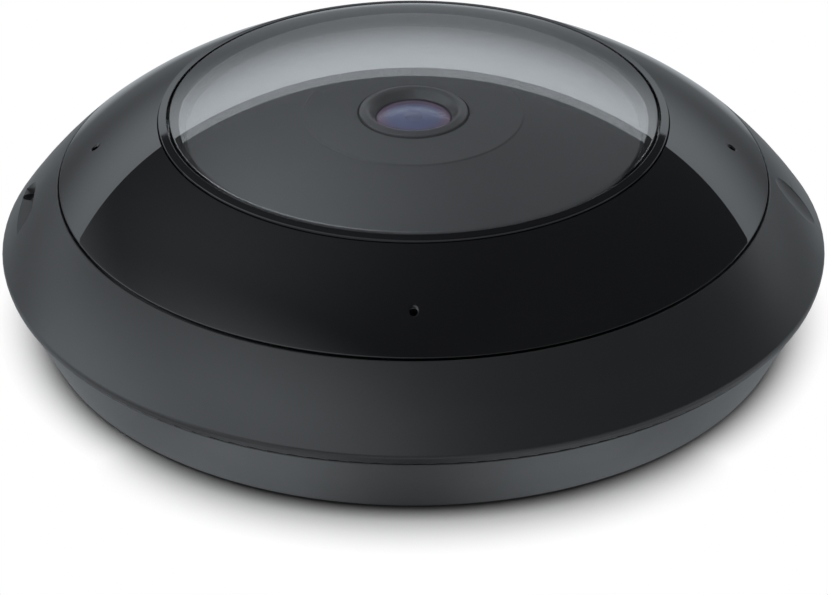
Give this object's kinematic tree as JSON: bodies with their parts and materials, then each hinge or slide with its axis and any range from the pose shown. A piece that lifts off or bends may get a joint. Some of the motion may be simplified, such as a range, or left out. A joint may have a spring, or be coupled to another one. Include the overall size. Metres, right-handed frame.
{
  "type": "fisheye ip camera",
  "caption": "Round fisheye network camera for a ceiling or wall: clear low dome over a wide-angle lens, dark annular window, bowed cover, conical base and a twist-on mounting plate.",
  "frame": {"origin": "middle of the underside of the mounting plate, on the surface that the camera is fixed to", "axes": "+Z away from that surface towards the dome, -Y towards the front of the picture, -X towards the notch of the lock screw"},
  "size_m": [0.1598, 0.1598, 0.0531],
  "materials": {
    "plate_plastic": "moulded, fine texture",
    "base_plastic": "moulded, fine satin texture",
    "cover_plastic": "moulded, satin",
    "window_black": "polished, passes infrared",
    "bezel_black": "polished",
    "dome_clear": "optically clear",
    "liner_black": "matt, anti-glare",
    "lens_black": "black anodised",
    "lens_glass": "coated",
    "inner_plastic": "moulded",
    "seal_rubber": "soft",
    "pad_rubber": "soft, heat conducting",
    "board_green": "solder mask",
    "chip_black": "moulded package",
    "microphone_metal": "plated",
    "led_clear": "clear resin on a pale package",
    "sink_metal": "bead blasted",
    "jack_plastic": "moulded",
    "button_plastic": "moulded",
    "ribbon_film": "flat cable film",
    "screw_steel": "zinc plated"
  },
  "bodies": {
    "mounting_plate": {"mounting_plate": "plate_plastic"},
    "camera": {"base_housing": "base_plastic", "outer_cover": "cover_plastic", "ir_window": "window_black", "dome_bezel": "bezel_black", "dome": "dome_clear", "inner_liner": "liner_black", "lens_barrel": "lens_black", "lens_lock_ring": "lens_black", "lens_front_element": "lens_glass", "lens_rear_group": "lens_glass", "ir_cut_filter": "lens_glass", "chassis": "inner_plastic", "lens_holder": "inner_plastic", "body_gasket": "seal_rubber", "dome_gasket": "seal_rubber", "jack_gasket": "seal_rubber", "microphone_boots": "seal_rubber", "thermal_pad": "pad_rubber", "main_board": "board_green", "sensor_board": "board_green", "ir_board": "board_green", "processor": "chip_black", "image_sensor": "chip_black", "light_sensor": "chip_black", "transformer": "chip_black", "reset_switch": "chip_black", "microphones": "microphone_metal", "ir_leds": "led_clear", "heat_sink": "sink_metal", "ethernet_jack": "jack_plastic", "ribbon_cable": "ribbon_film", "cover_screws": "screw_steel", "chassis_screws": "screw_steel", "bezel_screws": "screw_steel", "board_screws": "screw_steel", "sensor_screws": "screw_steel", "sensor_spacers": "screw_steel", "ir_board_screws": "screw_steel"},
    "lock_screw": {"lock_screw": "screw_steel"},
    "reset_button": {"reset_button": "button_plastic"}
  },
  "joints": [
    {"name": "twist_lock", "type": "hinge", "parent": "mounting_plate", "child": "camera", "pos_m": [0, 0, 0.004], "axis": [0, 0, 1], "range_deg": [-30, 0]},
    {"name": "lock_screw_slide", "type": "slide", "parent": "camera", "child": "lock_screw", "axis": [-0.5446, 0, 0.8387], "range_m": [0, 0.003]},
    {"name": "reset_press", "type": "slide", "parent": "camera", "child": "reset_button", "axis": [0, 0, 1], "range_m": [0, 0.0005], "stiffness_N_per_m": 1000}
  ]
}
